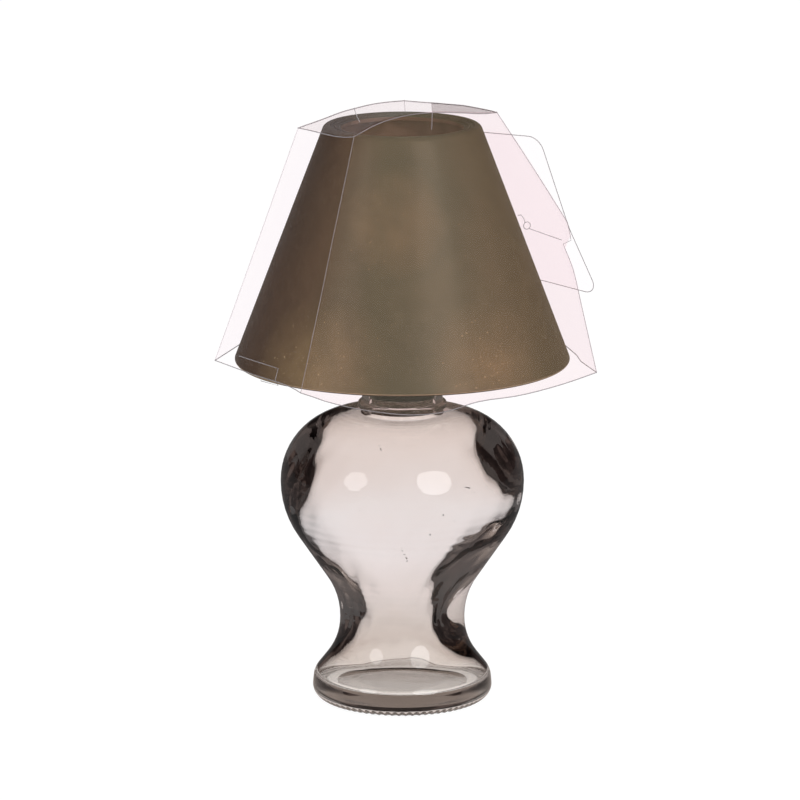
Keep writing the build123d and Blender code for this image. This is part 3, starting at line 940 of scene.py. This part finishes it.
def film_plan(height):
    """Points of the film in plan at one height, from the left fold on, and which of them are folds."""
    radius = cone_radius(height) + FILM_GAP
    corners = fold_places(height)
    points, folds = [], []
    for k, (here, there) in enumerate(zip(corners, corners[1:])):
        folds.append(len(points))
        start, end = polar(*here), polar(*there)
        if k == 0:
            steps = 2 * STRAIGHT_POINTS
            points += [start + (end - start) * j / steps for j in range(steps)]
            continue
        leaves = here[0] + math.acos(radius / here[1])
        meets = there[0] - math.acos(radius / there[1])
        on, off = polar(leaves, radius), polar(meets, radius)
        points += [start + (on - start) * j / STRAIGHT_POINTS for j in range(STRAIGHT_POINTS)]
        points += [polar(leaves + (meets - leaves) * j / ARC_POINTS, radius) for j in range(ARC_POINTS)]
        points += [off + (end - off) * j / STRAIGHT_POINTS for j in range(STRAIGHT_POINTS)]
    return np.array(points), folds


HEIGHTS = np.linspace(SHADE_BOTTOM - PLANS_BELOW, SHADE_TOP + PLANS_ABOVE, PLANS)
plans = np.stack([film_plan(h)[0] for h in HEIGHTS])
fold_columns = film_plan(SHADE_BOTTOM)[1]
columns = range(plans.shape[1])


def film_point(column, height):
    """The film's point in one column at a height."""
    x = np.interp(height, HEIGHTS, plans[:, column, 0])
    y = np.interp(height, HEIGHTS, plans[:, column, 1])
    return np.array([x, y, height])


print(len(columns), "points in each plan, folds at", fold_columns)

# %% [markdown]
# ## Cut edges of the film
# The film's cut edges aren't level. Below, the front edge hangs low in the middle, and above, it climbs
# to a peak right of the middle, while the back stays low. They could be cut with a boolean. Here each
# edge is a few points across the lamp with a smooth curve through them, so that the mesh ends there
# cleanly. A column of the film leans with the cone, so where it meets an edge is found by going to the
# edge's height a few times over.

# %% Cut edges
FRONT_TOP_EDGE = ((-50, 0.6), (-23, 2.6), (-12, 8.0), (14, 13.3), (26, 12.5), (46, 8.2))
BACK_TOP_EDGE = ((-50, 0.6), (-24, 3.2), (1, 3.0), (14, 2.8), (26, 2.9), (36, 4.1), (46, 8.2))
FRONT_LOW_EDGE = (
    (-70, 4), (-48, 3.9), (-35, -0.6), (-13, -5.6), (5, -7.6),
    (18, -7), (35, -3.6), (54, -2.8), (76, 0.4), (92, 4),
)
BACK_LOW_EDGE = ((-90, 4), (90, 4))
EDGE_SPLIT_Y = -13.0
LID_FRONT_Y = -50.0
LID_BACK_Y = 52.0
TOP_SINK = 0.12
TRIM_STEPS = 12


def along_edge(edge, x):
    """Height of a cut edge at a place across the lamp, as a smooth curve through its points."""
    across = [point[0] for point in edge]
    rise = [point[1] for point in edge]
    slopes = np.gradient(rise, across)
    if x <= across[0]:
        return rise[0]
    if x >= across[-1]:
        return rise[-1]
    k = int(np.searchsorted(across, x)) - 1
    width = across[k + 1] - across[k]
    t = (x - across[k]) / width
    start = rise[k] * (1 + 2 * t) * (1 - t) ** 2 + slopes[k] * width * t * (1 - t) ** 2
    return start + rise[k + 1] * t * t * (3 - 2 * t) + slopes[k + 1] * width * t * t * (t - 1)


def low_cut(x, y):
    """Height at which the film is cut below."""
    return SHADE_BOTTOM + along_edge(FRONT_LOW_EDGE if y < EDGE_SPLIT_Y else BACK_LOW_EDGE, x)


def lid_height(x, y):
    """Height of the film's closed top, straight from the front edge's height to the back edge's."""
    back = (y - LID_FRONT_Y) / (LID_BACK_Y - LID_FRONT_Y)
    return SHADE_TOP + (1 - back) * along_edge(FRONT_TOP_EDGE, x) + back * along_edge(BACK_TOP_EDGE, x)


def trimmed(column, cut, height):
    """The height at which a column of the film meets a cut, found in a few steps."""
    for _ in range(TRIM_STEPS):
        x, y, _z = film_point(column, height)
        height = cut(x, y)
    return height


low_edge = np.array([trimmed(c, low_cut, SHADE_BOTTOM) for c in columns])
top_edge = np.array([trimmed(c, lid_height, SHADE_TOP) for c in columns]) - TOP_SINK
print("film from", round(low_edge.min(), 1), "to", round(top_edge.max(), 1), "mm high")

# %% [markdown]
# ## The sheet of film
# The sheet runs round the cone in columns, from its lower to its upper cut. A solidify modifier gives it
# the thickness of the film, which keeps the mesh itself a simple grid. The front, the left and the back
# catch the light differently, so the faces between two folds get a finish of their own.

# %% The sheet round the cone
FILM_ROWS = 40


def on_sleeve(piece):
    """Let a piece move with the film."""
    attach(piece, "sleeve")


def thicken(piece, offset):
    """Give a sheet of film its thickness: offset 1 adds it outside, 0 on both sides."""
    made = piece.modifiers.new("film_thickness", "SOLIDIFY")
    made.thickness = FILM * MILLIMETRE
    made.offset = offset


film_rings = []
for share in (row / FILM_ROWS for row in range(FILM_ROWS + 1)):
    heights = low_edge + share * (top_edge - low_edge)
    film_rings.append(np.array([film_point(c, heights[c]) for c in columns]))
film = skin("clear_sleeve_film", film_rings)
thicken(film, 1.0)
for face in film.data.polygons:
    column = face.vertices[0] % len(columns)
    face.material_index = sum(column >= fold for fold in fold_columns[1:3])
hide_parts("clear_sleeve")
on_sleeve(film)
print(len(film.data.polygons), "faces on the film")

# %% [markdown]
# ## The film's closed top
# Over the opening the film is folded shut in two sheets that meet at a cut: the left one lies flat and is
# clear, the right one is steeper and greyer. Filling the top edge with one face would give no such
# difference. So each sheet is a grid of rows that run from the front edge to the back edge.

# %% Sheets over the top
LID_CUT_X = 14.0
LID_INSET = 0.004
LID_POINTS = 13
LID_ROWS = 25
LID_END_GAP = 0.5


def film_grid(name, rows):
    """A sheet over rows of points, each row as long as the next."""
    points = np.concatenate(rows) * MILLIMETRE
    width = len(rows[0])
    faces = []
    for row in range(len(rows) - 1):
        for k in range(width - 1):
            start = row * width + k
            faces.append((start, start + 1, start + width + 1, start + width))
    mesh = bpy.data.meshes.new(name)
    mesh.from_pydata(points.tolist(), [], faces)
    mesh.shade_smooth()
    made = add_object(name, mesh)
    thicken(made, 0.0)
    on_sleeve(made)
    return made


front_columns = list(range(fold_columns[0], fold_columns[2] + 1))
back_columns = [fold_columns[0], *range(len(columns) - 1, fold_columns[2] - 1, -1)]
front_line = np.array([film_point(c, top_edge[c]) for c in front_columns])
back_line = np.array([film_point(c, top_edge[c]) for c in back_columns])


def lid_row(x, sink=FILM / 2):
    """Points of the film's closed top from front to back at a place across the lamp."""
    front = np.array([np.interp(x, front_line[:, 0], front_line[:, k]) for k in range(3)])
    back = np.array([np.interp(x, back_line[:, 0], back_line[:, k]) for k in range(3)])
    shares = np.linspace(LID_INSET, 1 - LID_INSET, LID_POINTS)
    return np.array([front + (back - front) * t - (0, 0, sink) for t in shares])


lid_start = front_line[0, 0] + LID_END_GAP
lid_end = front_line[-1, 0] - LID_END_GAP
left_rows = [lid_row(x) for x in np.linspace(lid_start, LID_CUT_X, LID_ROWS)]
right_rows = [lid_row(x) for x in np.linspace(LID_CUT_X, lid_end, LID_ROWS)]
lid_left = film_grid("clear_sleeve_top_left", left_rows)
lid_right = film_grid("clear_sleeve_top_right", right_rows)
print("film closes the top from", round(lid_start, 1), "to", round(lid_end, 1), "mm across")

# %% [markdown]
# ## The free end of the film
# Behind the cone the film's loose end stands off to the right as a flat flap with rounded corners. It
# leaves the cone along a straight line, so it lies in the plane that touches the cone there. A grid would
# do too, but one flat face is enough. Its outline is drawn in that plane, along and down from its upper
# corner.

# %% The flap
FLAP_ANGLE = math.radians(50.0)
FLAP_TOP = 272.0
FLAP_CORNERS = ((0, 0, 0), (51, -2.6, 7), (55.7, 46.5, 40), (64.3, 83, 6), (0, 77, 0))
UP = np.array([0, 0, 1])
cone_lean = math.atan(SHADE_TAPER)
flap_out = np.array([math.cos(FLAP_ANGLE), math.sin(FLAP_ANGLE), 0])
flap_along = np.array([math.sin(FLAP_ANGLE), -math.cos(FLAP_ANGLE), 0])
flap_down = flap_out * math.sin(cone_lean) - UP * math.cos(cone_lean)
flap_normal = flap_out * math.cos(cone_lean) + UP * math.sin(cone_lean)
flap_start = flap_out * (cone_radius(FLAP_TOP) + FILM_GAP) + UP * FLAP_TOP + flap_normal * FILM / 2
flap_outline = [flap_start + flap_along * p.x + flap_down * p.y for p in rounded(FLAP_CORNERS, gap=5.0)]
flap_mesh = bpy.data.meshes.new("clear_sleeve_free_end")
flap_points = [tuple(p * MILLIMETRE) for p in flap_outline]
flap_mesh.from_pydata(flap_points, [], [tuple(range(len(flap_points)))])
free_end = add_object("clear_sleeve_free_end", flap_mesh)
thicken(free_end, 0.0)
on_sleeve(free_end)
print(len(flap_outline), "points round the free end")

# %% [markdown]
# ## Lines where the film is cut and folded
# Clear film is hardly seen except where it is cut or folded: there its edge gathers light into a thin
# grey line. A film's edge is thinner than a pixel, so its own faces wouldn't show. Each line is drawn as
# a thin round thread along the fold or the cut, as a curve that is then kept as a mesh.

# %% Threads, and points on the film's panels
LINE_RADIUS = 0.24


def thread(name, lines, radius=LINE_RADIUS):
    """Thin round lines through lists of points, drawn as a curve and kept as one mesh."""
    data = bpy.data.curves.new(name, "CURVE")
    data.dimensions = "3D"
    data.bevel_depth = radius * MILLIMETRE
    data.bevel_resolution = 1
    data.use_fill_caps = True
    for line, cyclic in lines:
        spline = data.splines.new("POLY")
        spline.points.add(len(line) - 1)
        for target, point in zip(spline.points, line):
            target.co = (*[float(v) * MILLIMETRE for v in point], 1)
        spline.use_cyclic_u = cyclic
    drawn = bpy.data.objects.new(name + "_drawn", data)
    mesh = bpy.data.meshes.new_from_object(drawn)
    bpy.data.objects.remove(drawn)
    bpy.data.curves.remove(data)
    mesh.name = name
    tidy_normals(mesh)
    return add_object(name, mesh)


def on_right_panel(x, height):
    """The point of the film's front and right panel at a place across the lamp and a height."""
    row = np.array([film_point(c, height) for c in range(fold_columns[1], fold_columns[2] + 1)])
    return np.array([x, np.interp(x, row[:, 0], row[:, 1]), height])


def on_left_panel(share, rise):
    """The point of the left panel at a share of its width and a height over its lower edge."""
    low = np.interp(share * fold_columns[1], columns, low_edge)
    left, right = film_point(0, low + rise), film_point(fold_columns[1], low + rise)
    return left + (right - left) * share


print("line helpers ready")

# %% Slit, tab and creases
SLIT_X = 58.3
SLIT_TILT = math.radians(22.0)
SLIT_HOLE = 1.6
SLIT_START = 0.8
SLIT_END = 16.4
SLIT_POINTS = 12
HOLE_POINTS = 20
SLIT_UNDER_HOLE = SLIT_HOLE * 0.6
HOOK = ((-4.2, 4.7), (-2.6, 4.8), (-1.3, 2.8), (-0.9, 1.4))
LOCK_TAB = ((0.24, 5.6), (0.47, 5.9), (0.70, 5.7), (0.70, 0.4), (0.747, -1.4), (0.55, -1.6))
LID_CUT_DROPS = (0, 4, 7.5)
LID_CUT_LEAN = 0.05
LID_CUT_SINK = 0.4
LID_CREASE = ((-23.0, 12), (-21.5, 8), (-20.0, 5))
FLAP_EDGE_SCALE = 0.992
hole = [
    on_right_panel(SLIT_X + SLIT_HOLE * math.cos(a), SLIT_HEIGHT + SLIT_HOLE * math.sin(a))
    for a in np.linspace(0, math.tau, HOLE_POINTS, endpoint=False)
]
slit = [
    on_right_panel(SLIT_X + run, SLIT_HEIGHT - SLIT_UNDER_HOLE - run * math.tan(SLIT_TILT))
    for run in np.linspace(SLIT_START, SLIT_END, SLIT_POINTS)
]
hook = [on_right_panel(SLIT_X + across, SLIT_HEIGHT + rise) for across, rise in HOOK]
lock_tab = [on_left_panel(*corner) for corner in LOCK_TAB]
lid_cut_top = front_line[:, 2].max() - LID_CUT_SINK
lid_cut = [on_right_panel(LID_CUT_X - LID_CUT_LEAN * drop, lid_cut_top - drop) for drop in LID_CUT_DROPS]
lid_crease = [lid_row(x)[k] for x, k in LID_CREASE]
lid_side = list(lid_row(LID_CUT_X, FILM))
flap_middle = np.mean(flap_outline, axis=0)
flap_edge = [flap_middle + (p - flap_middle) * FLAP_EDGE_SCALE for p in flap_outline]
print("slit", round(SLIT_END - SLIT_START, 1), "mm long")

# %% All lines of the film
FOLD_RADIUS = 0.16
FINE_RADIUS = 0.2
FOLD_POINTS = 60
CUT_SINK = 0.15
fold_lines = []
for column in fold_columns:
    heights = np.linspace(low_edge[column], top_edge[column], FOLD_POINTS)
    fold_lines.append(([film_point(column, h) for h in heights], False))
cut_lines = [
    ([film_point(c, low_edge[c]) for c in columns], True),
    ([film_point(c, top_edge[c] - LINE_RADIUS - CUT_SINK) for c in columns], True),
]
fine_lines = [(line, False) for line in (slit, hook, lock_tab, lid_cut, lid_crease, flap_edge)]
fine_lines.append((hole, True))
soft_lines = [fold_lines[0], fold_lines[3], (lid_side, False)]
film_folds = thread("clear_sleeve_folds", fold_lines[1:3], FOLD_RADIUS)
film_soft_folds = thread("clear_sleeve_soft_folds", soft_lines, FINE_RADIUS)
film_cuts = thread("clear_sleeve_cut_edges", cut_lines)
film_fine_lines = thread("clear_sleeve_fine_lines", fine_lines, FINE_RADIUS)
for lines in (film_folds, film_soft_folds, film_cuts, film_fine_lines):
    on_sleeve(lines)
print(len(fold_lines), "folds,", len(cut_lines), "cut edges and", len(fine_lines), "finer lines")

# %% [markdown]
# ## Finishes of the film
# Clear film lets nearly all light through, with a faint pink tint, and adds a thin veil of haze. A glass
# shader would bend the light as a solid block does, which a film 0.4 mm thick doesn't do. So each finish
# is a transparent shader with a small share of a hazy one, and the share changes towards grazing views.
# The front panel gets the most haze, a warm veil that is painted light for the key light it catches,
# and the lines along cuts and folds are about half grey.


# %% Film finishes
LIGHT_SHARE = 0.97
FILM_ROUGHNESS = 0.12
FILM_EDGE_BLEND = 0.35
FILM_RIPPLE_SCALE = 60.0
FILM_RIPPLE = (0.15, 0.0006)


def see_through(name, tint, haze_colour, least, most, gloss=0.5):
    """A clear film: tinted where looked through, with a haze that goes from least to most at its edges."""
    made, tree, shine = new_finish(name)
    set_inputs(shine, Base_Color=haze_colour, Roughness=FILM_ROUGHNESS, Specular_IOR_Level=gloss)
    path = node(tree, "LightPath")
    lit = sums(tree, "MAXIMUM", path.outputs["Is Shadow Ray"], path.outputs["Is Diffuse Ray"])
    clear = node(tree, "BsdfTransparent")
    lit_tint = (*[v * LIGHT_SHARE for v in tint[:3]], 1)
    join(tree, blend_colours(tree, lit, tint, lit_tint), clear.inputs["Color"])
    facing = set_inputs(node(tree, "LayerWeight"), Blend=FILM_EDGE_BLEND).outputs["Facing"]
    share = bands(tree, facing, [(0.0, grey(least)), (1.0, grey(most))])
    ripple = noise(tree, node(tree, "TexCoord").outputs["Object"], FILM_RIPPLE_SCALE, 3.0)
    relief(tree, shine, ripple, *FILM_RIPPLE)
    mixed = either(tree, share, clear.outputs[0], shine.outputs[0])
    join(tree, mixed, tree.nodes["Material Output"].inputs["Surface"])
    return made


HAZE = (0.90, 0.84, 0.58, 1)
TOP_HAZE = (0.8, 0.76, 0.77, 1)
# The front panel's larger, warm haze is painted light for the key light it catches; the other panels are
# the same film with less.
film_front_lit = see_through("film_front_lit", (0.978, 0.935, 0.949, 1), HAZE, 0.022, 0.018, 0.0)
film_back = see_through("film_back", (0.999, 0.988, 0.993, 1), HAZE, 0.012, 0.02, 0.0)
film_clear = see_through("film_clear", (0.999, 0.986, 0.991, 1), (0.9, 0.86, 0.87, 1), 0.0, 0.006)
film_top = see_through("film_top", (0.955, 0.93, 0.932, 1), TOP_HAZE, 0.002, 0.06)
film_top_steep = see_through("film_top_steep", (0.75, 0.71, 0.71, 1), TOP_HAZE, 0.002, 0.08)
film_line = see_through("film_line", (0.8, 0.78, 0.79, 1), (0.42, 0.40, 0.41, 1), 0.45, 0.6)
film_faint_line = see_through("film_faint_line", (0.93, 0.91, 0.92, 1), (0.6, 0.57, 0.58, 1), 0.12, 0.2)
for piece, finish in (
    (film, film_clear),
    (film, film_front_lit),
    (film, film_back),
    (free_end, film_clear),
    (lid_left, film_top),
    (lid_right, film_top_steep),
    (film_folds, film_line),
    (film_soft_folds, film_faint_line),
    (film_cuts, film_line),
    (film_fine_lines, film_line),
):
    piece.data.materials.append(finish)
print("film finishes ready")

# %% [markdown]
# ## Metal, rubber and wax
# The cup is spun and the carrier is bent from wire and nickel plated, so both keep fine lines from their
# making. The pads and the gasket are matt rubber. The solid model's shapes are right for these, so they
# stay and only get a finish. One recipe serves them all and the candle too: two tones and two roughnesses
# over a noise that is squeezed along an axis, which turns spots into drawn lines.

# %% Finishes with a grain
GRAIN_STRENGTH = 0.2
GRAINED = {
    # metallic, darker and lighter tone, roughness, scale of the grain, its squeeze, its depth in metres
    "plated_nickel": (1.0, (172, 166, 158), (214, 208, 200), (0.16, 0.34), 90.0, (1, 1, 14), 2e-5),
    "matt_rubber": (0.0, (26, 26, 26), (46, 45, 44), (0.6, 0.85), 500.0, (1, 1, 1), 8e-5),
    "tinned_steel": (1.0, (150, 150, 150), (196, 196, 194), (0.3, 0.5), 300.0, (1, 5, 1), 3e-5),
    "pressed_aluminium": (1.0, (196, 196, 196), (232, 231, 229), (0.2, 0.4), 160.0, (6, 6, 1), 3e-5),
    "paraffin": (0.0, (232, 226, 210), (246, 242, 230), (0.3, 0.5), 70.0, (1, 1, 1), 1e-4),
    "twisted_cotton": (0.0, (206, 198, 178), (238, 233, 218), (0.7, 0.9), 1800.0, (1, 1, 0.3), 1e-4),
}


def grained_finish(name, metallic, dark, pale, roughness, scale, squeeze, depth):
    """A finish with a grain in its tone, its roughness and its relief."""
    made, tree, shine = new_finish(name)
    set_inputs(shine, Metallic=metallic)
    drawn = set_inputs(node(tree, "Mapping"), Scale=squeeze)
    join(tree, node(tree, "TexCoord").outputs["Object"], drawn.inputs["Vector"])
    grain = noise(tree, drawn.outputs[0], scale, 4.0, 0.6)
    tones = bands(tree, grain, [(0.3, colour(*dark)), (0.7, colour(*pale))])
    join(tree, tones, shine.inputs["Base Color"])
    low, high = roughness
    join(tree, bands(tree, grain, [(0.3, grey(low)), (0.7, grey(high))]), shine.inputs["Roughness"])
    relief(tree, shine, grain, GRAIN_STRENGTH, depth)
    return made


finishes = {name: grained_finish(name, *values) for name, values in GRAINED.items()}
wax_shader = finishes["paraffin"].node_tree.nodes["Principled BSDF"]
set_inputs(wax_shader, Subsurface_Weight=0.25, Subsurface_Scale=0.004)
for name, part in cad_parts.items():
    for words, finish in (
        (("cup", "hub", "ring", "arm"), "plated_nickel"),
        (("gasket", "pad"), "matt_rubber"),
        (("sustainer",), "tinned_steel"),
    ):
        if any(word in name for word in words):
            part.data.materials.clear()
            part.data.materials.append(finishes[finish])
print(len(finishes), "grained finishes ready")

# %% [markdown]
# ## The candle
# A tealight is a pressed aluminium shell, its wax and a wick. Plain cylinders would do from afar, but a
# real shell is pressed into flutes under a smooth rolled rim, wax sinks in the middle as it cools and
# climbs a little at the wick, and a wick is twisted from strands. So these three are made again here.

# %% The shell
CUP_FLOOR = 165.0
SHELL_RADIUS = 19.0
SHELL_HEIGHT = 15.0
SHELL_WALL = 0.4
SHELL_FOOT = 1.2
FLUTES = 48
FLUTE_DEPTH = 0.22
SHELL_POINTS = FLUTES * 6
FLUTE_STEPS = (
    # height over the floor, share of the depth
    (1.2, 0),
    (2.0, 1),
    (12.2, 1),
    (13.2, 0),
)


def candle_piece(piece, replaced, finish):
    """Let a piece stand for a node of the candle."""
    piece.data.materials.append(finishes[finish])
    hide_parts(replaced)
    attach(piece, "tealight")


def fluted(radius, height, depth):
    """A ring with flutes pressed into it."""
    rows = ring(radius, height, SHELL_POINTS)
    waves = 0.5 + 0.5 * np.cos(FLUTES * round_angles(SHELL_POINTS))
    rows[:, :2] *= (1 - depth / radius * waves)[:, None]
    return rows


rim = CUP_FLOOR + SHELL_HEIGHT
wall = SHELL_RADIUS - SHELL_WALL
rolled_rim = (
    (SHELL_RADIUS, -1.0), (SHELL_RADIUS, -0.25), (SHELL_RADIUS - 0.1, 0.0),
    (wall + 0.1, 0.0), (wall, -0.25), (wall, -1.4),
)
shell_rings = [
    on_axis(CUP_FLOOR),
    ring(SHELL_RADIUS - SHELL_FOOT, CUP_FLOOR, SHELL_POINTS),
    *[fluted(SHELL_RADIUS, CUP_FLOOR + up, FLUTE_DEPTH * share) for up, share in FLUTE_STEPS],
    *[ring(radius, rim + up, SHELL_POINTS) for radius, up in rolled_rim],
    *[fluted(wall, CUP_FLOOR + up, FLUTE_DEPTH * share) for up, share in reversed(FLUTE_STEPS)],
    ring(wall - SHELL_FOOT, CUP_FLOOR + SHELL_WALL, SHELL_POINTS),
    on_axis(CUP_FLOOR + SHELL_WALL),
]
shell = skin("tealight_shell_fluted", shell_rings)
candle_piece(shell, "tealight_shell", "pressed_aluminium")
print(FLUTES, "flutes on the shell")

# %% The wax and the wick
WAX_TOP = rim - 2.5
WAX_SEGMENTS = 96
WAX_OUTLINE = (
    # radius, height over the cup's floor
    (0, 0.45), (15.0, 0.45), (17.2, 1.4), (18.2, 2.2), (18.2, 12.0), (18.3, 12.35), (17.4, 12.0),
    (14.0, 11.65), (9.0, 11.45), (5.0, 11.35), (2.4, 11.5), (1.4, 12.0), (1.05, 12.1), (0, 12.1),
)
WICK_TOP = WAX_TOP + 7.0
WICK_ROOT = WAX_TOP - 0.6
WICK_POINTS = 30
WICK_TURNS = 2
STRANDS = 3
STRAND_OFFSET = 0.42
STRAND_RADIUS = 0.46
wax_rings = []
for radius, up in WAX_OUTLINE:
    height = CUP_FLOOR + up
    wax_rings.append(ring(radius, height, WAX_SEGMENTS) if radius else on_axis(height))
candle_piece(skin("tealight_wax_dished", wax_rings), "tealight_wax", "paraffin")

wick_heights = np.linspace(WICK_ROOT, WICK_TOP, WICK_POINTS)
strands = []
for strand in range(STRANDS):
    turns = np.linspace(0, WICK_TURNS * math.tau, WICK_POINTS) + strand * math.tau / STRANDS
    strands.append(([(*polar(a, STRAND_OFFSET), z) for a, z in zip(turns, wick_heights)], False))
wick = thread("tealight_wick_twisted", strands, STRAND_RADIUS)
candle_piece(wick, "tealight_wick", "twisted_cotton")
print("candle from", CUP_FLOOR, "to", WICK_TOP, "mm high")
